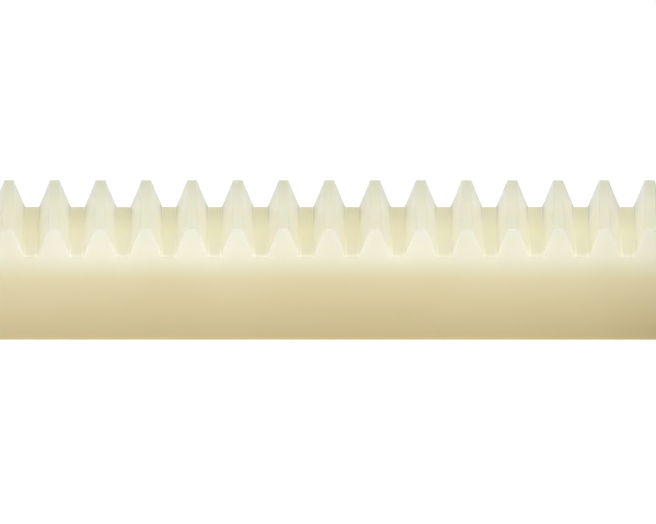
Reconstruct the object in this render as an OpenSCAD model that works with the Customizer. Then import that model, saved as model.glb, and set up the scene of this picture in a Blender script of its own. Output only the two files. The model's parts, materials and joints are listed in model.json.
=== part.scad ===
// Light-duty rack and pinion. A natural nylon rack slides in a guide on a base plate, and a
// nylon pinion on a cross shaft drives it. X runs along the rack, Y runs along the shaft from
// front to rear, Z is up, and the origin is under the pinion, at the middle of the four
// mounting holes, on the underside of the base plate.

/* [Teeth] */
// Module: tooth pitch divided by pi
module_mm = 1.5; // [1.4:0.05:1.6]
// Pressure angle in degrees
pressure_angle = 20; // [19:0.5:21]
// Rack tooth thickness on the pitch line, thinned for backlash
rack_tooth_t = 2.09; // [2.05:0.01:2.15]

/* [Rack] */
// Width across the rack's teeth
rack_w = 10.5; // [10:0.1:11]
// Height from the rack's back to its tooth tips
rack_h = 13; // [12.8:0.1:13.2]
// Radius of the fillets at the roots of the rack's teeth
rack_fillet = 0.15; // [0.1:0.05:0.4]
// Teeth to the left of the pinion at rest
teeth_left = 24; // [22:1:32]
// Teeth to the right of the pinion at rest
teeth_right = 5; // [5:1:8]

/* [Base plate] */
// Length of the base plate along the rack
plate_l = 48; // [46:1:56]
// Reach of the base plate in front of the rack's centre line
plate_front = 20; // [19.5:0.5:24]
// Reach of the base plate behind the rack's centre line
plate_rear = 27; // [25:0.5:30]
// Thickness of the base plate
plate_t = 6; // [5.5:0.5:7]

/* [Bearing block] */
// Thickness of the block that carries the bushes
block_t = 14; // [14:0.5:16]
// Width of the block where it stands on the base plate
block_w = 28; // [26:0.5:29]
// Radius of the block's round top
block_top_r = 11; // [10:0.5:12]

/* [Shaft] */
// Free length of the drive end behind the retaining ring
drive_l = 18; // [14:1:24]

/* [Guide] */
// Length of the rack guide
guide_l = 44; // [44:1:45]
// Length of each raised end that carries a keeper
post_l = 8; // [7.5:0.25:8]

/* [Hidden] */
$fn = 96;
cut = 0.5;                 // overrun of every cutting tool

// Tooth form
pinion_teeth = 18;
pitch = PI * module_mm;
pitch_r = module_mm * pinion_teeth / 2;
addendum = module_mm;
rack_dedendum = 1.1 * module_mm;
pinion_dedendum = 1.25 * module_mm;
tip_r = pitch_r + addendum;
root_r = pitch_r - pinion_dedendum;
base_r = pitch_r * cos(pressure_angle);
pinion_tooth_t = pitch / 2 - 0.04;
flank_steps = 7;           // steps along each involute flank
fillet_steps = 3;          // steps round each root fillet
pinion_fillet = 0.45;

// Heights
slide_gap = 0.05;          // under the rack
side_gap = 0.1;            // each side of the rack
keeper_gap = 0.3;          // over the tooth tips
guide_floor_t = 3;
guide_w = 22;
rack_z = plate_t + guide_floor_t;
tip_z = rack_z + rack_h;
axis_z = tip_z - addendum + pitch_r;
root_z = tip_z - addendum - rack_dedendum;
wall_z = root_z - 0.85;    // top of the guide's low side walls
post_z = tip_z + keeper_gap;
keeper_t = 4;

// Rack ends, cut through the middle of a tooth space
rack_x0 = -teeth_left * pitch;
rack_x1 = teeth_right * pitch;
end_hole_z = rack_z + 5;
insert_r = 2.8;
insert_l = 8;
end_plate_z = plate_t + 1.5;
end_plate_h = 14;
load_plate_t = 6;
load_counterbore = 3.3;    // sinks the centre screw's head below the load plate's face
load_plate_w = 27;
load_hole_y = 9;
stop_t = 3;
stop_w = 16;
end_head_r = 3.5;

// Across the shaft
shaft_d = 8;
pinion_w = 10;
hub_r = 9;
hub_l = 8;
rear_boss_r = 7;
block_y = guide_w / 2;
flange_t = 1.5;
flange_r = 8;
bush_r = 6;
bush_l = 7;                // with its flange
bush_gap = 0.03;           // radial running clearance
flange_front_y = block_y - flange_t;
flange_rear_y = block_y + block_t + flange_t;
end_float = 0.1;           // axial play of the shaft
washer_t = 1;
ring_t = 0.9;
ring_y = flange_rear_y + end_float + washer_t;
groove_r = shaft_d / 2 - 0.4;
shaft_y0 = -pinion_w / 2 - hub_l - 1;
shaft_y1 = ring_y + ring_t + drive_l;
flat_l = 8;                // flat on the drive end
flat_depth = 0.5;
centre_hole_r = 1.25;      // 60 degree centre holes in the shaft's ends

// Mounting holes in the base plate
mount_hole_r = 2.25;
mount_hole_x = 38;
mount_hole_y = 31;

// Screws
m3_r = 1.5;
m4_r = 2;
post_x = guide_l / 2 - post_l / 2;
post_screw_y = 8.2;
block_screw_x = 8;
block_screw_y = block_y + block_t / 2;

// Angle between a point at radius r on an involute from base_r and the involute's start
function involute_angle(r) = let (roll = sqrt(pow(r / base_r, 2) - 1))
    roll * 180 / PI - atan(roll);

// Half the angle of a pinion tooth at radius r
function half_tooth(r) = pinion_tooth_t / 2 / pitch_r * 180 / PI
    + involute_angle(pitch_r) - involute_angle(max(r, base_r));

// Polar point at angle a, measured from straight down
function from_down(r, a) = [r * sin(a), -r * cos(a)];

// Radius and half angle of the points up one side of a pinion tooth, round its root fillet
// and then along the involute
pinion_side = concat(
    [for (i = [0 : fillet_steps]) let (b = 90 * i / fillet_steps)
        [root_r + pinion_fillet * (1 - cos(b)),
            half_tooth(base_r) + pinion_fillet * (1 - sin(b)) / root_r * 180 / PI]],
    [for (i = [0 : flank_steps]) let (r = base_r + (tip_r - base_r) * i / flank_steps)
        [r, half_tooth(r)]]
);

// One pinion tooth centred at angle a
function pinion_tooth(a) = concat(
    [for (p = pinion_side) from_down(p[0], a - p[1])],
    [for (i = [len(pinion_side) - 1 : -1 : 0]) from_down(pinion_side[i][0], a + pinion_side[i][1])]
);

// Distance from a rack tooth's centre line, and height, of the points up its root fillet
half_tip = rack_tooth_t / 2 - addendum * tan(pressure_angle);
half_root = rack_tooth_t / 2 + rack_dedendum * tan(pressure_angle);
fillet_x = half_root + rack_fillet * tan((90 - pressure_angle) / 2);
rack_side = [for (i = [0 : fillet_steps]) let (b = -90 - (90 - pressure_angle) * i / fillet_steps)
    [fillet_x + rack_fillet * cos(b), root_z + rack_fillet * (1 + sin(b))]];

// One rack tooth centred at x, in the XZ plane
function rack_tooth(x) = concat(
    [for (p = rack_side) [x - p[0], p[1]]],
    [[x - half_tip, tip_z], [x + half_tip, tip_z]],
    [for (i = [fillet_steps : -1 : 0]) [x + rack_side[i][0], rack_side[i][1]]]
);

// Extrudes an XZ outline along +Y, from y0 for a length
module along_y(y0, length) {
    translate([0, y0 + length, 0]) rotate([90, 0, 0]) linear_extrude(height = length) children();
}

// A round bar along +Y from y0, with both ends chamfered
module bar_y(r, y0, length, chamfer = 0) {
    translate([0, y0, 0]) rotate([-90, 0, 0]) rotate_extrude()
        polygon([
            [0, 0], [r - chamfer, 0], [r, chamfer],
            [r, length - chamfer], [r - chamfer, length], [0, length]
        ]);
}

// A plate in XY with chamfered corners, standing on z = 0
module chamfered_plate(x0, x1, y0, y1, t, c) {
    linear_extrude(height = t)
        polygon([
            [x0 + c, y0], [x1 - c, y0], [x1, y0 + c], [x1, y1 - c],
            [x1 - c, y1], [x0 + c, y1], [x0, y1 - c], [x0, y0 + c]
        ]);
}

// A socket-head cap screw pointing down, with the head's underside at z = 0
module cap_screw(r, length, head_r, head_h, key) {
    difference() {
        union() {
            cylinder(r = head_r, h = head_h);
            translate([0, 0, -length]) cylinder(r = r, h = length + cut);
        }
        translate([0, 0, head_h * 0.45]) cylinder(d = key / cos(30), h = head_h, $fn = 6);
    }
}

// A countersunk screw pointing up, with its flat head's face at z = 0
module countersunk_screw(r, length, key) {
    difference() {
        rotate_extrude()
            polygon([
                [0, 0], [2 * r - 0.1, 0], [2 * r - 0.1, 0.2],
                [r, r + 0.1], [r, length], [0, length]
            ]);
        translate([0, 0, -cut]) cylinder(d = key / cos(30), h = cut + r * 0.8, $fn = 6);
    }
}

// Children at the four screws of the guide and keepers
module at_post_screws() {
    for (sx = [-1, 1], sy = [-1, 1]) translate([sx * post_x, sy * post_screw_y, 0]) children();
}

// Children at the two screws that hold the bearing block
module at_block_screws() {
    for (sx = [-1, 1]) translate([sx * block_screw_x, block_screw_y, 0]) children();
}

// A clearance hole up through the base plate, countersunk from below
module countersunk_hole(r) {
    translate([0, 0, -cut]) cylinder(r = r + 0.1, h = plate_t + 2 * cut);
    rotate_extrude()
        polygon([[0, -cut], [2 * r, -cut], [2 * r, 0.2], [r, r + 0.2], [0, r + 0.2]]);
}

module base_plate() {
    color("silver") difference() {
        chamfered_plate(-plate_l / 2, plate_l / 2, -plate_front, plate_rear, plate_t, 3);
        for (sx = [-1, 1], sy = [-1, 1])
            translate([sx * mount_hole_x / 2, sy * mount_hole_y / 2, -cut])
                cylinder(r = mount_hole_r, h = plate_t + 2 * cut);
        at_post_screws() countersunk_hole(m3_r);
        at_block_screws() countersunk_hole(m4_r);
    }
}

module bearing_block() {
    // the sides run from the foot's corners and meet the round top at a tangent
    rise = axis_z - plate_t;
    tangent = acos(block_top_r / norm([block_w / 2, rise])) - atan(rise / (block_w / 2));
    touch = block_top_r * [cos(tangent), sin(tangent)];
    color("silver") difference() {
        along_y(block_y, block_t) {
            polygon([
                [-block_w / 2, plate_t], [block_w / 2, plate_t],
                [touch[0], axis_z + touch[1]], [-touch[0], axis_z + touch[1]]
            ]);
            translate([0, axis_z]) circle(r = block_top_r);
        }
        translate([0, 0, axis_z]) bar_y(bush_r, block_y - cut, block_t + 2 * cut);
        at_block_screws() translate([0, 0, plate_t - cut]) cylinder(r = m4_r, h = 11 + cut);
    }
}

module block_screws() {
    color("#1c1d1f") at_block_screws() translate([0, 0, 0.1]) countersunk_screw(m4_r, 15, 2.5);
}

module rack_guide() {
    channel_w = rack_w + 2 * side_gap;
    color("#26282a") difference() {
        translate([-guide_l / 2, -guide_w / 2, plate_t]) cube([guide_l, guide_w, post_z - plate_t]);
        translate([-guide_l / 2 - cut, -channel_w / 2, rack_z - slide_gap])
            cube([guide_l + 2 * cut, channel_w, post_z]);
        translate([-guide_l / 2 + post_l, -guide_w / 2 - cut, wall_z])
            cube([guide_l - 2 * post_l, guide_w + 2 * cut, post_z]);
        at_post_screws() {
            translate([0, 0, plate_t - cut]) cylinder(r = m3_r, h = 7 + cut);
            translate([0, 0, post_z - 8]) cylinder(r = m3_r, h = 8 + cut);
        }
    }
}

// A bar over the tooth tips that holds the rack down in the guide
module keeper(side) {
    keeper_l = post_l - 1;
    color("#26282a") difference() {
        translate([side * post_x, 0, post_z])
            chamfered_plate(-keeper_l / 2, keeper_l / 2, -guide_w / 2, guide_w / 2 - 0.1, keeper_t, 0.8);
        for (sy = [-1, 1])
            translate([side * post_x, sy * post_screw_y, post_z - cut])
                cylinder(r = m3_r + 0.1, h = keeper_t + 2 * cut);
    }
}

module left_keeper() {
    keeper(-1);
}

module right_keeper() {
    keeper(1);
}

module keeper_screws() {
    color("#1c1d1f") at_post_screws()
        translate([0, 0, post_z + keeper_t]) cap_screw(m3_r, 11, 2.75, 3, 2.5);
}

module guide_screws() {
    color("#1c1d1f") at_post_screws() translate([0, 0, 0.1]) countersunk_screw(m3_r, 12, 2);
}

// A flanged bush whose flange face is at y = 0 and whose body runs along +Y
module bush() {
    inner_r = shaft_d / 2 + bush_gap;
    color("#b08d57") rotate([-90, 0, 0]) rotate_extrude()
        polygon([
            [inner_r, 0], [flange_r - 0.3, 0], [flange_r, 0.3], [flange_r, flange_t],
            [bush_r, flange_t], [bush_r, bush_l - 0.4], [bush_r - 0.4, bush_l], [inner_r, bush_l]
        ]);
}

module front_bush() {
    translate([0, flange_front_y, axis_z]) bush();
}

module rear_bush() {
    translate([0, flange_rear_y, axis_z]) mirror([0, 1, 0]) bush();
}

module drive_shaft() {
    color("#c9ccd0") translate([0, 0, axis_z]) difference() {
        bar_y(shaft_d / 2, shaft_y0, shaft_y1 - shaft_y0, 0.5);
        // groove for the retaining ring
        difference() {
            bar_y(shaft_d / 2 + cut, ring_y, ring_t);
            bar_y(groove_r, ring_y - cut, ring_t + 2 * cut);
        }
        // centre holes
        for (end = [[shaft_y0, -1], [shaft_y1, 1]])
            translate([0, end[0], 0]) rotate([-90 * end[1], 0, 0]) rotate_extrude()
                polygon([
                    [0, cut], [centre_hole_r, cut], [centre_hole_r, 0],
                    [0.5, -(centre_hole_r - 0.5) * tan(60)], [0.5, -2.2], [0, -2.2]
                ]);
        // flat on the drive end
        translate([-shaft_d / 2, shaft_y1 - flat_l, shaft_d / 2 - flat_depth])
            cube([shaft_d, flat_l + cut, shaft_d]);
    }
}

module pinion() {
    rear_boss_l = flange_front_y - end_float - pinion_w / 2;
    step = 360 / pinion_teeth;
    color("#e9e2c4") translate([0, 0, axis_z]) difference() {
        union() {
            along_y(-pinion_w / 2, pinion_w)
                polygon([for (i = [0 : pinion_teeth - 1]) each pinion_tooth(i * step)]);
            bar_y(hub_r, -pinion_w / 2 - hub_l, hub_l + 1, 0.5);
            bar_y(rear_boss_r, pinion_w / 2 - 1, rear_boss_l + 1, 0.3);
        }
        bar_y(shaft_d / 2 + 0.01, -pinion_w / 2 - hub_l - cut,
            pinion_w + hub_l + rear_boss_l + 2 * cut);
        translate([0, -pinion_w / 2 - hub_l / 2, 0]) cylinder(r = m4_r, h = hub_r + cut);
    }
}

module pinion_set_screw() {
    screw_l = 4.8;
    foot_r = shaft_d / 2 + 0.02;
    color("#1c1d1f") translate([0, -pinion_w / 2 - hub_l / 2, axis_z + foot_r]) difference() {
        rotate_extrude()
            polygon([
                [0, 0], [m4_r - 0.7, 0], [m4_r, 0.7],
                [m4_r, screw_l - 0.2], [m4_r - 0.2, screw_l], [0, screw_l]
            ]);
        translate([0, 0, screw_l - 2.2]) cylinder(d = 2 / cos(30), h = 2.2 + cut, $fn = 6);
    }
}

module thrust_washer() {
    color("#c9ccd0") translate([0, flange_rear_y + end_float / 2, axis_z]) difference() {
        bar_y(flange_r - 0.5, 0, washer_t, 0.15);
        bar_y(shaft_d / 2 + 0.05, -cut, washer_t + 2 * cut);
    }
}

module retaining_ring() {
    outer_r = 5.6;
    gap_w = 3;
    color("#3a3c3f") translate([0, ring_y + 0.02, axis_z]) difference() {
        bar_y(outer_r, 0, ring_t - 0.04);
        bar_y(groove_r, -cut, ring_t + 2 * cut);
        translate([-gap_w / 2, -cut, 0]) cube([gap_w, ring_t + 2 * cut, outer_r + cut]);
        for (sx = [-1, 1])
            translate([sx * 2.7, 0, 3.8]) bar_y(0.5, -cut, ring_t + 2 * cut);
    }
}

module rack() {
    color("#e9e2c4") difference() {
        along_y(-rack_w / 2, rack_w)
            polygon(concat(
                [[rack_x1, root_z], [rack_x1, rack_z], [rack_x0, rack_z], [rack_x0, root_z]],
                [for (i = [-teeth_left : teeth_right - 1]) each rack_tooth((i + 0.5) * pitch)]
            ));
        // seats for the threaded inserts
        for (end = [[rack_x0, 90], [rack_x1, -90]])
            translate([end[0], 0, end_hole_z]) rotate([0, end[1], 0])
                translate([0, 0, -cut]) cylinder(r = insert_r, h = insert_l + cut + 0.5);
    }
}

module rack_inserts() {
    color("#b5973f") for (end = [[rack_x0, 90], [rack_x1, -90]])
        translate([end[0], 0, end_hole_z]) rotate([0, end[1], 0]) difference() {
            cylinder(r = insert_r, h = insert_l);
            translate([0, 0, -cut]) cylinder(r = m4_r, h = insert_l + 2 * cut);
        }
}

// A plate across one end of the rack, too wide to enter the guide's channel
module end_plate(x0, t, w) {
    difference() {
        translate([x0, 0, 0]) rotate([90, 0, 90])
            chamfered_plate(-w / 2, w / 2, end_plate_z, end_plate_z + end_plate_h, t, 1.5);
        translate([x0 - cut, 0, end_hole_z]) rotate([0, 90, 0])
            cylinder(r = m4_r + 0.15, h = t + 2 * cut);
    }
}

module load_plate() {
    x0 = rack_x0 - load_plate_t;
    color("silver") difference() {
        end_plate(x0, load_plate_t, load_plate_w);
        translate([x0 - cut, 0, end_hole_z]) rotate([0, 90, 0])
            cylinder(r = end_head_r + 0.4, h = load_counterbore + cut);
        // tapped holes for the load
        for (sy = [-1, 1])
            translate([x0 - cut, sy * load_hole_y, end_hole_z]) rotate([0, 90, 0])
                cylinder(r = m3_r, h = load_plate_t + 2 * cut);
    }
}

module end_stop() {
    color("#26282a") end_plate(rack_x1, stop_t, stop_w);
}

module rack_end_screws() {
    color("#1c1d1f") {
        translate([rack_x0 - load_plate_t + load_counterbore, 0, end_hole_z]) rotate([0, -90, 0])
            cap_screw(m4_r, 10, end_head_r, 2.8, 2.5);
        translate([rack_x1 + stop_t, 0, end_hole_z]) rotate([0, 90, 0])
            cap_screw(m4_r, 10, end_head_r, 2.8, 2.5);
    }
}

base_plate();
bearing_block();
block_screws();
rack_guide();
guide_screws();
left_keeper();
right_keeper();
keeper_screws();
front_bush();
rear_bush();
drive_shaft();
pinion();
pinion_set_screw();
thrust_washer();
retaining_ring();
rack();
rack_inserts();
load_plate();
end_stop();
rack_end_screws();
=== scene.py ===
"""Looks of the rack and pinion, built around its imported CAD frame. Lengths are in metres."""

import json
import math

import bmesh
import bpy
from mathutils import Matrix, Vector

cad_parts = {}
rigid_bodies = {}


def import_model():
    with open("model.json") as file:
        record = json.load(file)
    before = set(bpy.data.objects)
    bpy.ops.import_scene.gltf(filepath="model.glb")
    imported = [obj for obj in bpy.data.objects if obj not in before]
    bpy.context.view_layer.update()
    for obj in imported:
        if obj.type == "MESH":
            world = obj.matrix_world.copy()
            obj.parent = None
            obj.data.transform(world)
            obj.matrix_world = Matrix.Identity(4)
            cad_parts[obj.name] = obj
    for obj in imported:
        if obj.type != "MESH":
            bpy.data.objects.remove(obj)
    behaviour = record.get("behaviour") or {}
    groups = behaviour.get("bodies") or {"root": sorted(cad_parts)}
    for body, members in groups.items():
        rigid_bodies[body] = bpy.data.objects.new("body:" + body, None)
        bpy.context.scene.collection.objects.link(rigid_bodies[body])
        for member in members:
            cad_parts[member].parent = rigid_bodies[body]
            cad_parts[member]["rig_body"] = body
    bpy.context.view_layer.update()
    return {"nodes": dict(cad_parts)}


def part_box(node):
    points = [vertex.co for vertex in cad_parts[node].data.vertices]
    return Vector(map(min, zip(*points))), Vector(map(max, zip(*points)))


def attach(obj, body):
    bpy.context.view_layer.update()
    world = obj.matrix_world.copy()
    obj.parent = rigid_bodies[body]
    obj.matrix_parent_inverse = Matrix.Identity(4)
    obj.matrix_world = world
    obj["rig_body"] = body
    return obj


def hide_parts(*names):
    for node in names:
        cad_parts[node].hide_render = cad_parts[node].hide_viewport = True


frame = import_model()

MM = 0.001

# The rack's teeth
MODULE = 1.5 * MM
PITCH = math.pi * MODULE
TOOTH_DEPTH = 3.15 * MM

# The camera
VIEW_ELEVATION = math.radians(29.08)
VIEW_WIDTH = 67.52 * MM          # how much of the rack the picture shows
VIEW_TOOTH = 10.5                # pitches from the rack's left end to the picture's middle
VIEW_SHIFT_X = -0.133 * MM
VIEW_SHIFT_UP = -0.215 * MM
LENS = 1000.0                    # long enough to look parallel
SENSOR = 36.0

# The painted shade strip down each tooth gap
STRIP_HALF_FRONT = 0.55 * MM
STRIP_HALF_REAR = 0.88 * MM
STRIP_SOFT = 0.15 * MM

# Rounded edges
WELD = 0.0005 * MM               # points closer than this are one point
FLAT_ANGLE = math.radians(0.4)   # faces that turn less than this are joined
BEVEL_ANGLE = math.radians(28)   # edges sharper than this are rounded
SHARP_ANGLE = math.radians(32)   # edges sharper than this stay crisp in the shading
BEVEL_SEGMENTS = 2

# Cap screws
SCREW_SIDES = 96
KNURL = 0.09 * MM                # depth of the knurling on the heads
M3_SCREW = {"r": 1.5 * MM, "length": 11 * MM, "head_r": 2.75 * MM, "head_h": 3.0 * MM, "key": 2.5 * MM}
M4_SCREW = {"r": 2.0 * MM, "length": 10 * MM, "head_r": 3.5 * MM, "head_h": 2.8 * MM, "key": 2.5 * MM}

# The stage
FLOOR_SIZE = 12.0
FLOOR_FADE = (-29 * MM, -22 * MM)  # along X, from the bare rack's floor to the mechanism's
FLOOR_GREY = (0.9, 0.9, 0.9, 1)
FLOOR_GREY_BARE = (0.1, 0.1, 0.1, 1)
FLOOR_GREY_NEAR = (0.6, 0.6, 0.6, 1)
FLOOR_GLOW = 0.2
FLOOR_GLOW_BARE = 1.0
FLOOR_GLOW_NEAR = 0.48
LIGHTS_AIM = Vector((-0.06, 0, 0.02))

rack_lo, rack_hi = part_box("rack")
rack_mid = (rack_lo + rack_hi) / 2
root_z = rack_hi.z - TOOTH_DEPTH
root_level = (root_z - rack_lo.z) / (rack_hi.z - rack_lo.z)
pinion_lo, pinion_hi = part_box("pinion")
pinion_axis_z = (pinion_lo.z + pinion_hi.z) / 2


# ---------------------------------------------------------------- camera


def make_camera():
    """The picture's view: level from left to right, looking down on the rack, almost parallel."""
    back = Vector((0, -math.cos(VIEW_ELEVATION), math.sin(VIEW_ELEVATION)))
    up = Vector((0, math.sin(VIEW_ELEVATION), math.cos(VIEW_ELEVATION)))
    middle_x = rack_lo.x + VIEW_TOOTH * PITCH + VIEW_SHIFT_X
    target = Vector((middle_x, rack_mid.y, rack_mid.z)) + up * VIEW_SHIFT_UP
    data = bpy.data.cameras.new("camera")
    data.lens = LENS
    data.sensor_width = SENSOR
    data.clip_start = 0.1
    data.clip_end = 50
    camera = bpy.data.objects.new("camera", data)
    bpy.context.scene.collection.objects.link(camera)
    camera.location = target + back * (LENS * VIEW_WIDTH / SENSOR)
    camera.rotation_mode = "QUATERNION"
    camera.rotation_quaternion = (-back).to_track_quat("-Z", "Y")
    bpy.context.scene.camera = camera


# ---------------------------------------------------------------- material helpers


class Nodes:
    """A short way to build a node tree."""

    def __init__(self, tree):
        self.tree = tree

    def add(self, kind, inputs=None, **settings):
        """A node of that kind. inputs maps a socket's name or number to a value or an output."""
        node = self.tree.nodes.new(kind)
        for key, value in settings.items():
            setattr(node, key, value)
        for key, value in (inputs or {}).items():
            if isinstance(value, bpy.types.NodeSocket):
                self.tree.links.new(value, node.inputs[key])
            else:
                node.inputs[key].default_value = value
        return node

    def math(self, operation, a, b=0.0):
        """The result of a Math node."""
        return self.add("ShaderNodeMath", {0: a, 1: b}, operation=operation).outputs[0]

    def product(self, first, *others):
        """All the values multiplied."""
        for other in others:
            first = self.math("MULTIPLY", first, other)
        return first

    def remap(self, value, low, high, to_low=0.0, to_high=1.0, smooth=False):
        """value from low..high to to_low..to_high, clamped."""
        kind = "SMOOTHSTEP" if smooth else "LINEAR"
        inputs = {"Value": value, "From Min": low, "From Max": high, "To Min": to_low, "To Max": to_high}
        return self.add("ShaderNodeMapRange", inputs, interpolation_type=kind).outputs[0]

    def mix(self, factor, a, b, blend="MIX"):
        """Colour a with colour b over it by factor."""
        inputs = {0: factor, 6: a, 7: b}
        return self.add("ShaderNodeMix", inputs, data_type="RGBA", blend_type=blend).outputs[2]

    def ramp(self, value, stops):
        """A colour ramp of (place, (r, g, b)) stops in linear colour."""
        node = self.add("ShaderNodeValToRGB", {"Fac": value})
        node.color_ramp.interpolation = "LINEAR"
        elements = node.color_ramp.elements
        while len(elements) < len(stops):
            elements.new(0.5)
        for element, (place, colour) in zip(elements, stops):
            element.position = place
            element.color = (*colour, 1)
        return node.outputs["Color"]

    def noise(self, vector, scale, detail):
        """A noise value about 0.5."""
        inputs = {"Vector": vector, "Scale": scale, "Detail": detail, "Roughness": 0.5}
        return self.add("ShaderNodeTexNoise", inputs).outputs["Fac"]

    def place(self, scale=(1, 1, 1), location=(0, 0, 0)):
        """The point's place in the model's frame, scaled and then moved."""
        where = self.add("ShaderNodeTexCoord").outputs["Object"]
        inputs = {"Vector": where, "Scale": scale, "Location": location}
        return self.add("ShaderNodeMapping", inputs).outputs[0]

    def xyz(self, vector):
        """The three parts of a vector."""
        return self.add("ShaderNodeSeparateXYZ", {0: vector}).outputs

    def seen(self):
        """1 for what the camera sees directly, 0 for the light that bounces."""
        return self.add("ShaderNodeLightPath").outputs["Is Camera Ray"]

    def bump(self, height, distance, strength=1.0, normal=None):
        """A normal from a height."""
        inputs = {"Height": height, "Distance": distance, "Strength": strength}
        if normal is not None:
            inputs["Normal"] = normal
        return self.add("ShaderNodeBump", inputs).outputs[0]


def linear(r, g, b):
    """A colour given as 0 to 255 display values, in linear light."""
    return tuple((c / 255 / 12.92) if c <= 10 else ((c / 255 + 0.055) / 1.055) ** 2.4 for c in (r, g, b))


def new_material(name):
    """An empty node material: (material, its Nodes, its shader node)."""
    material = bpy.data.materials.new(name)
    material.use_nodes = True
    material.node_tree.nodes.clear()
    nodes = Nodes(material.node_tree)
    shader = nodes.add("ShaderNodeBsdfPrincipled")
    output = nodes.add("ShaderNodeOutputMaterial")
    material.node_tree.links.new(shader.outputs[0], output.inputs["Surface"])
    return material, nodes, shader


def wire(material, shader, **outputs):
    """Links outputs to the shader's sockets: Base_Color=... goes to Base Color."""
    for socket, output in outputs.items():
        material.node_tree.links.new(output, shader.inputs[socket.replace("_", " ")])


def clouded(nodes, scale, dark, light):
    """Soft clouds from a dark colour to a light one."""
    cloud = nodes.noise(nodes.place(), scale, 3)
    return nodes.mix(nodes.remap(cloud, 0.3, 0.7), (*dark, 1), (*light, 1))


def grained(name, base_of, grain_of, rough, depth, strength=0.5, span=(0.3, 0.7), metallic=1.0):
    """A material whose grain is in its colour, its roughness (low to high over span) and its bump."""
    material, nodes, shader = new_material(name)
    grain = grain_of(nodes)
    wire(material, shader,
         Base_Color=base_of(nodes, grain),
         Roughness=nodes.remap(grain, *span, *rough),
         Normal=nodes.bump(grain, depth, strength))
    shader.inputs["Metallic"].default_value = metallic
    return material


# ---------------------------------------------------------------- nylon


def nylon(name, colour_and_light_of):
    """Natural nylon: milky, satin, lit from within. The colour function given paints its colour, with
    light and shade painted in.
    """
    material, nodes, shader = new_material(name)
    blotch = nodes.remap(nodes.noise(nodes.place(), 90, 2), 0.35, 0.65, 0.0, 0.12)
    fine = nodes.noise(nodes.place(), 2600, 3)
    flow = nodes.noise(nodes.place((0.25, 1, 1)), 500, 2)
    wire(material, shader,
         Base_Color=nodes.mix(blotch, colour_and_light_of(nodes), (0.80, 0.74, 0.50, 1), "MULTIPLY"),
         Roughness=nodes.remap(flow, 0.3, 0.7, 0.40, 0.52),
         Normal=nodes.bump(flow, 0.02 * MM, 0.5, nodes.bump(fine, 0.004 * MM, 0.5)))
    shader.inputs["IOR"].default_value = 1.53
    shader.inputs["Specular IOR Level"].default_value = 0.3
    shader.inputs["Subsurface Weight"].default_value = 0.5
    shader.inputs["Subsurface Radius"].default_value = (1.0, 0.85, 0.60)
    shader.inputs["Subsurface Scale"].default_value = 1.2 * MM
    return material


def paint_land_shade(nodes, colour, height, rearward, up):
    """Painted shade on the tooth tips, deeper towards the rear."""
    shade = nodes.ramp(rearward, [
        (0.0, (0.873, 0.862, 0.803)),
        (0.5, (0.862, 0.873, 0.803)),
        (1.0, (0.744, 0.771, 0.701)),
    ])
    facing_up = nodes.remap(up, 0.40, 0.65)
    on_tooth = nodes.remap(height, root_level + 0.12, root_level + 0.20)
    return nodes.mix(nodes.product(facing_up, on_tooth), colour, shade, "MULTIPLY")


def paint_gap_shade(nodes, colour, x, height, rearward, up):
    """Painted shade in a soft strip down each tooth gap, and on a little of the front face below it."""
    shade = nodes.ramp(rearward, [
        (0.0, (0.85, 0.85, 0.83)),
        (0.5, (0.87, 0.86, 0.75)),
        (1.0, (0.78, 0.78, 0.69)),
    ])
    phase = nodes.math("FRACT", nodes.math("DIVIDE", nodes.math("SUBTRACT", x, rack_lo.x), PITCH))
    off_middle = nodes.product(nodes.math("PINGPONG", phase, 0.5), PITCH)
    half_width = nodes.remap(rearward, 0.0, 1.0, STRIP_HALF_FRONT, STRIP_HALF_REAR)
    beyond = nodes.math("SUBTRACT", off_middle, half_width)
    in_strip = nodes.remap(beyond, -STRIP_SOFT, STRIP_SOFT, 1.0, 0.0, smooth=True)
    on_floor = nodes.remap(up, 0.02, 0.3)
    # Painted shade on the front face just under each gap's edge, dimming the lit lip there.
    on_lip = nodes.remap(height, root_level - 0.03, root_level - 0.004, 0.0, 0.5)
    below_tips = nodes.remap(height, root_level + 0.03, root_level + 0.10, 1.0, 0.0)
    in_gap = nodes.product(in_strip, nodes.math("MAXIMUM", on_floor, on_lip), below_tips)
    return nodes.mix(in_gap, colour, shade, "MULTIPLY")


def paint_fillet_light(nodes, colour, height, rearward, up):
    """Painted light on the root fillets, lifting the shade in those corners, more so towards the rear.
    """
    at_root = nodes.remap(height, root_level + 0.005, root_level + 0.02, 1.0, 0.0)
    sloping = nodes.product(nodes.remap(up, 0.2, 0.4), nodes.remap(up, 0.9, 0.99, 1.0, 0.0))
    strength = nodes.remap(rearward, 0.1, 1.0, 0.0, 0.6)
    # Painted light: the fillets mixed towards a pale cream.
    return nodes.mix(nodes.product(at_root, sloping, strength), colour, (0.97, 0.95, 0.84, 1))


def paint_flank_shade(nodes, colour, rearward, sideways):
    """Painted shade on the tooth flanks at the rear, which also makes them bluer."""
    shade = nodes.ramp(rearward, [
        (0.0, (1.0, 1.0, 1.0)),
        (0.6, (0.98, 0.98, 0.98)),
        (1.0, (0.82, 0.87, 0.91)),
    ])
    return nodes.mix(nodes.remap(sideways, 0.7, 0.9), colour, shade, "MULTIPLY")


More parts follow.
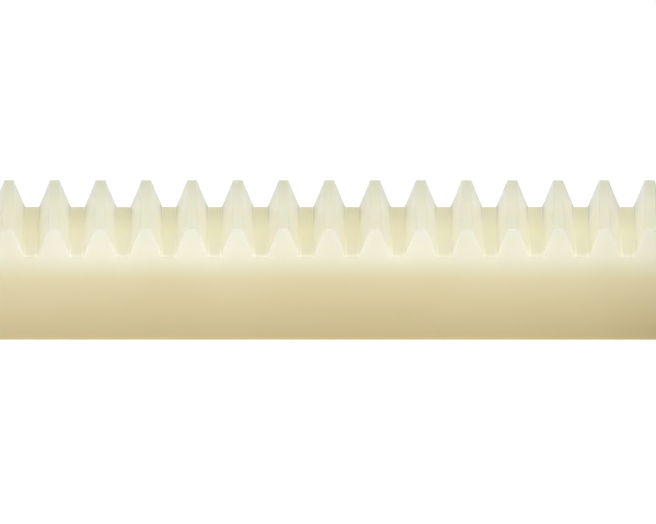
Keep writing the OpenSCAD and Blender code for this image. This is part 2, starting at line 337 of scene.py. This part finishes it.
def rack_colour_and_painted_light(nodes):
    """Colour by height, partly the nylon's own tone and partly painted light and shade: paler where the
    thin teeth glow, tanner down the solid body. Painted shade on the lands, gaps and flanks, painted
    light on the root fillets, and duller low down towards the right.
    """
    x, y, z = nodes.xyz(nodes.place())
    height = nodes.remap(z, rack_lo.z, rack_hi.z)
    rearward = nodes.remap(y, rack_lo.y, rack_hi.y)
    facing = nodes.xyz(nodes.add("ShaderNodeNewGeometry").outputs["Normal"])
    sideways = nodes.math("ABSOLUTE", facing[0])
    up = facing[2]
    # Partly the nylon's own tone, partly painted light and shade: the thin teeth painted paler as if lit
    # through, the solid body painted tanner as if in shade.
    colour = nodes.ramp(height, [
        (0.04, linear(209, 193, 152)),
        (0.33, linear(221, 208, 167)),
        (0.55, linear(229, 218, 180)),
        (0.68, linear(237, 233, 207)),
        (root_level - 0.01, linear(241, 238, 217)),
        (root_level + 0.06, linear(242, 239, 221)),
        # The last two stops paint shade along the tooth tips, against the bright rim the light gives
        # their edges.
        (0.970, linear(237, 236, 221)),
        (1.0, linear(229, 228, 213)),
    ])
    colour = paint_land_shade(nodes, colour, height, rearward, up)
    colour = paint_gap_shade(nodes, colour, x, height, rearward, up)
    colour = paint_fillet_light(nodes, colour, height, rearward, up)
    colour = paint_flank_shade(nodes, colour, rearward, sideways)
    along = nodes.remap(x, rack_lo.x, rack_hi.x)
    low = nodes.remap(z, root_z, rack_lo.z)
    return nodes.mix(nodes.product(along, low), colour, (0.87, 0.85, 0.68, 1), "MULTIPLY")


def pinion_colour_and_painted_light(nodes):
    """Partly the nylon's own tone and partly painted light: paler where the thin teeth glow, tanner
    towards the bore.
    """
    x, _, z = nodes.xyz(nodes.place(location=(0, 0, -pinion_axis_z)))
    radius = nodes.math("SQRT", nodes.math("ADD", nodes.math("POWER", x, 2), nodes.math("POWER", z, 2)))
    return nodes.ramp(nodes.remap(radius, 4 * MM, 15 * MM), [
        (0.0, linear(212, 199, 158)),
        (0.45, linear(224, 212, 174)),
        (0.70, linear(234, 228, 198)),
        (1.0, linear(241, 239, 217)),
    ])


# ---------------------------------------------------------------- other materials


def acetal():
    """Black acetal, milled: satin, with faint cutter lines."""
    return grained(
        "black_acetal",
        lambda nodes, grain: clouded(nodes, 220, (0.013, 0.013, 0.014), (0.024, 0.024, 0.026)),
        lambda nodes: nodes.noise(nodes.place((1, 0.06, 1)), 2400, 2),
        rough=(0.34, 0.50), depth=0.006 * MM, strength=0.6, metallic=0.0)


def anodised(name, along):
    """Clear anodised aluminium, fly cut along one direction."""
    stretch = {"x": (0.03, 1, 1), "y": (1, 0.03, 1), "z": (1, 1, 0.03)}[along]

    def base_of(nodes, cuts):
        base = clouded(nodes, 120, (0.50, 0.51, 0.53), (0.58, 0.59, 0.60))
        return nodes.mix(nodes.remap(cuts, 0.35, 0.65, 0, 0.30), base, (0.36, 0.37, 0.39, 1))

    return grained(name, base_of, lambda nodes: nodes.noise(nodes.place(stretch), 3200, 3),
                   rough=(0.30, 0.44), depth=0.004 * MM, strength=0.6)


def steel(name, dark, light, rough, turned=False):
    """Steel between two greys; turned adds fine rings across the shaft's axis."""
    stretch = (0.1, 1, 0.1) if turned else (1, 1, 1)
    return grained(
        name,
        lambda nodes, grain: clouded(nodes, 240, (dark,) * 3, (light,) * 3),
        lambda nodes: nodes.noise(nodes.place(stretch), 5200, 3),
        rough=(rough - 0.06, rough + 0.08), depth=0.002 * MM)


def bronze():
    """Sintered bronze: a grain of tiny dark pores, oiled."""

    def base_of(nodes, pores):
        base = clouded(nodes, 300, (0.50, 0.31, 0.14), (0.60, 0.40, 0.20))
        return nodes.mix(nodes.remap(pores, 0.55, 0.68), base, (0.18, 0.10, 0.05, 1))

    return grained("sintered_bronze", base_of, lambda nodes: nodes.noise(nodes.place(), 4200, 2),
                   rough=(0.34, 0.6), depth=-0.01 * MM, span=(0.4, 0.65))


def brass():
    """Turned brass."""
    return grained(
        "insert_brass",
        lambda nodes, grain: clouded(nodes, 260, (0.66, 0.46, 0.17), (0.76, 0.57, 0.25)),
        lambda nodes: nodes.noise(nodes.place((0.1, 1, 1)), 4200, 2),
        rough=(0.24, 0.36), depth=0.003 * MM)


# ---------------------------------------------------------------- pieces


def stand_in(bm, node, material):
    """Puts a mesh in a CAD node's place, on the node's own body, with the given material in its slot."""
    mesh = bpy.data.meshes.new(node + "_finished")
    bm.to_mesh(mesh)
    bm.free()
    for polygon in mesh.polygons:
        polygon.use_smooth = True
    piece = bpy.data.objects.new(node + "_finished", mesh)
    bpy.context.scene.collection.objects.link(piece)
    mesh.set_sharp_from_angle(angle=SHARP_ANGLE)
    weighted = piece.modifiers.new("weighted", "WEIGHTED_NORMAL")
    weighted.keep_sharp = True
    mesh.materials.append(material)
    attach(piece, frame["nodes"][node]["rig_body"])
    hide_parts(node)


def finished(node, material, edge):
    """Stands a copy with rounded edges in for a CAD node."""
    bm = bmesh.new()
    bm.from_mesh(frame["nodes"][node].data)
    bmesh.ops.remove_doubles(bm, verts=bm.verts, dist=WELD)
    bmesh.ops.dissolve_limit(bm, angle_limit=FLAT_ANGLE, verts=bm.verts, edges=bm.edges)
    sharp = [e for e in bm.edges if len(e.link_faces) == 2 and e.calc_face_angle(0) > BEVEL_ANGLE]
    bmesh.ops.bevel(bm, geom=sharp, offset=edge, offset_type="OFFSET", segments=BEVEL_SEGMENTS,
                    profile=0.5, affect="EDGES", clamp_overlap=True)
    bmesh.ops.triangulate(bm, faces=[f for f in bm.faces if len(f.verts) > 4])
    stand_in(bm, node, material)


def cap_screw(bm, place, down, r, length, head_r, head_h, key):
    """A cap screw with a knurled head and a hex socket. place is under the head, down its shank."""
    corner = key / 2 / math.cos(math.radians(30))
    tip_chamfer = 0.30 * MM
    socket_floor = head_h * 0.45
    socket_point = socket_floor - 0.35 * MM

    def hexagon(_, angle):
        return key / 2 / math.cos((angle % math.radians(60)) - math.radians(30))

    def knurled(i, _):
        return head_r - (KNURL if i % 2 else 0)

    def smooth(radius):
        return lambda i, angle: radius

    profile = [
        (-length, smooth(r - tip_chamfer)),
        (-length + tip_chamfer, smooth(r)),
        (0, smooth(r)),
        (0, smooth(head_r - 0.15 * MM)),
        (0.12 * MM, knurled),
        (head_h - 0.42 * MM, knurled),
        (head_h - 0.34 * MM, smooth(head_r - 0.05 * MM)),
        (head_h - 0.12 * MM, smooth(head_r - 0.14 * MM)),
        (head_h, smooth(head_r - 0.38 * MM)),
        (head_h, smooth(corner + 0.10 * MM)),
        (head_h - 0.08 * MM, smooth(corner)),
        (head_h - 0.24 * MM, hexagon),
        (socket_floor, hexagon),
    ]
    turn = (-down).to_track_quat("Z", "Y")

    def vertex(x, y, z):
        return bm.verts.new(place + turn @ Vector((x, y, z)))

    rings = []
    for height, radius_at in profile:
        ring = []
        for i in range(SCREW_SIDES):
            angle = 2 * math.pi * i / SCREW_SIDES
            radius = radius_at(i, angle)
            ring.append(vertex(radius * math.cos(angle), radius * math.sin(angle), height))
        rings.append(ring)
    tip = vertex(0, 0, -length)
    pit = vertex(0, 0, socket_point)
    for i in range(SCREW_SIDES):
        j = (i + 1) % SCREW_SIDES
        for low, high in zip(rings, rings[1:]):
            bm.faces.new((low[i], low[j], high[j], high[i]))
        bm.faces.new((tip, rings[0][j], rings[0][i]))
        bm.faces.new((pit, rings[-1][i], rings[-1][j]))


def cap_screws(node, material, size, places):
    """Stands knurled cap screws of one size in for a CAD node. places are (place, down) pairs."""
    bm = bmesh.new()
    for place, down in places:
        cap_screw(bm, place, down, **size)
    stand_in(bm, node, material)


def keeper_screw_places():
    """Upright, in the four corners of their node's box."""
    lo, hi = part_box("keeper_screws")
    inset = M3_SCREW["head_r"]
    under_head = hi.z - M3_SCREW["head_h"]
    return [(Vector((x, y, under_head)), Vector((0, 0, -1)))
            for x in (lo.x + inset, hi.x - inset) for y in (lo.y + inset, hi.y - inset)]


def rack_end_screw_places():
    """Lying along X, one into each end of the rack."""
    lo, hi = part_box("rack_end_screws")
    middle = (lo + hi) / 2
    head_h = M4_SCREW["head_h"]
    return [(Vector((x, middle.y, middle.z)), Vector((way, 0, 0)))
            for x, way in ((lo.x + head_h, 1), (hi.x - head_h, -1))]


# ---------------------------------------------------------------- stage


def make_floor():
    """A plain pale floor. The camera sees it white, with soft shadows only near the mechanism."""
    half = FLOOR_SIZE / 2
    corners = [(-half, -half, 0), (half, -half, 0), (half, half, 0), (-half, half, 0)]
    mesh = bpy.data.meshes.new("floor")
    mesh.from_pydata(corners, [], [(0, 1, 2, 3)])
    floor = bpy.data.objects.new("floor", mesh)
    bpy.context.scene.collection.objects.link(floor)
    material, nodes, shader = new_material("pale_floor")
    shader.inputs["Roughness"].default_value = 0.9
    shader.inputs["Specular IOR Level"].default_value = 0.0
    shader.inputs["Emission Color"].default_value = (1, 1, 1, 1)
    seen = nodes.seen()
    bare = nodes.remap(nodes.xyz(nodes.place())[0], *FLOOR_FADE, 1, 0, smooth=True)
    seen_grey = nodes.mix(bare, FLOOR_GREY_NEAR, FLOOR_GREY_BARE)
    seen_glow = nodes.remap(bare, 0, 1, FLOOR_GLOW_NEAR, FLOOR_GLOW_BARE)
    extra_glow = nodes.product(seen, nodes.math("SUBTRACT", seen_glow, FLOOR_GLOW))
    wire(material, shader,
         Base_Color=nodes.mix(seen, FLOOR_GREY, seen_grey),
         Emission_Strength=nodes.math("ADD", FLOOR_GLOW, extra_glow))
    mesh.materials.append(material)


def make_surround():
    """Soft grey light from all round, a little brighter from above. The camera sees it white."""
    world = bpy.data.worlds.new("surround")
    bpy.context.scene.world = world
    world.use_nodes = True
    world.node_tree.nodes.clear()
    nodes = Nodes(world.node_tree)
    way_up = nodes.xyz(nodes.add("ShaderNodeTexCoord").outputs["Generated"])[2]
    studio = nodes.ramp(nodes.remap(way_up, -0.1, 1.0), [
        (0.0, (0.24, 0.24, 0.245)),
        (0.35, (0.28, 0.28, 0.285)),
        (1.0, (0.38, 0.38, 0.38)),
    ])
    colour = nodes.mix(nodes.seen(), studio, (1.05, 1.05, 1.05, 1))
    background = nodes.add("ShaderNodeBackground", {"Color": colour, "Strength": 1.0})
    nodes.add("ShaderNodeOutputWorld", {"Surface": background.outputs[0]})


def make_lights():
    """Soft studio light from above, from both sides and a little from the front."""
    for name, place, size, power in (
        ("overhead", (0, -0.05, 0.8), (0.6, 0.6), 3.8),
        ("left", (-0.65, -0.1, 0.6), (0.5, 0.5), 2.1),
        ("right", (0.5, -0.3, 0.6), (0.5, 0.5), 1.8),
        ("front", (-0.04, -0.8, 0.15), (0.6, 0.5), 0.3),
    ):
        data = bpy.data.lights.new(name, "AREA")
        data.shape = "RECTANGLE"
        data.size, data.size_y = size
        data.energy = power
        light = bpy.data.objects.new(name, data)
        bpy.context.scene.collection.objects.link(light)
        light.location = place
        light.rotation_mode = "QUATERNION"
        light.rotation_quaternion = (LIGHTS_AIM - light.location).to_track_quat("-Z", "Y")


# ---------------------------------------------------------------- build

bpy.context.scene.view_settings.view_transform = "Standard"
bpy.context.scene.view_settings.look = "None"
make_camera()
make_floor()
make_surround()
make_lights()

rack_nylon = nylon("rack_nylon", rack_colour_and_painted_light)
pinion_nylon = nylon("pinion_nylon", pinion_colour_and_painted_light)
black_acetal = acetal()
plate_metal = anodised("anodised_plate", "x")
block_metal = anodised("anodised_block", "z")
load_metal = anodised("anodised_load_plate", "y")
screw_steel = steel("blackened_steel", 0.030, 0.055, 0.42)
shaft_steel = steel("ground_steel", 0.50, 0.62, 0.20, turned=True)
ring_steel = steel("spring_steel", 0.10, 0.16, 0.35)
bush_bronze = bronze()
insert_brass = brass()

for node, material, edge in (
    ("rack", rack_nylon, 0.03 * MM),
    ("pinion", pinion_nylon, 0.12 * MM),
    ("base_plate", plate_metal, 0.35 * MM),
    ("bearing_block", block_metal, 0.35 * MM),
    ("load_plate", load_metal, 0.3 * MM),
    ("rack_guide", black_acetal, 0.25 * MM),
    ("left_keeper", black_acetal, 0.25 * MM),
    ("right_keeper", black_acetal, 0.25 * MM),
    ("end_stop", black_acetal, 0.25 * MM),
    ("guide_screws", screw_steel, 0.05 * MM),
    ("block_screws", screw_steel, 0.05 * MM),
    ("pinion_set_screw", screw_steel, 0.05 * MM),
    ("front_bush", bush_bronze, 0.08 * MM),
    ("rear_bush", bush_bronze, 0.08 * MM),
    ("drive_shaft", shaft_steel, 0.08 * MM),
    ("thrust_washer", shaft_steel, 0.06 * MM),
    ("retaining_ring", ring_steel, 0.06 * MM),
    ("rack_inserts", insert_brass, 0.06 * MM),
):
    finished(node, material, edge)

cap_screws("keeper_screws", screw_steel, M3_SCREW, keeper_screw_places())
cap_screws("rack_end_screws", screw_steel, M4_SCREW, rack_end_screw_places())
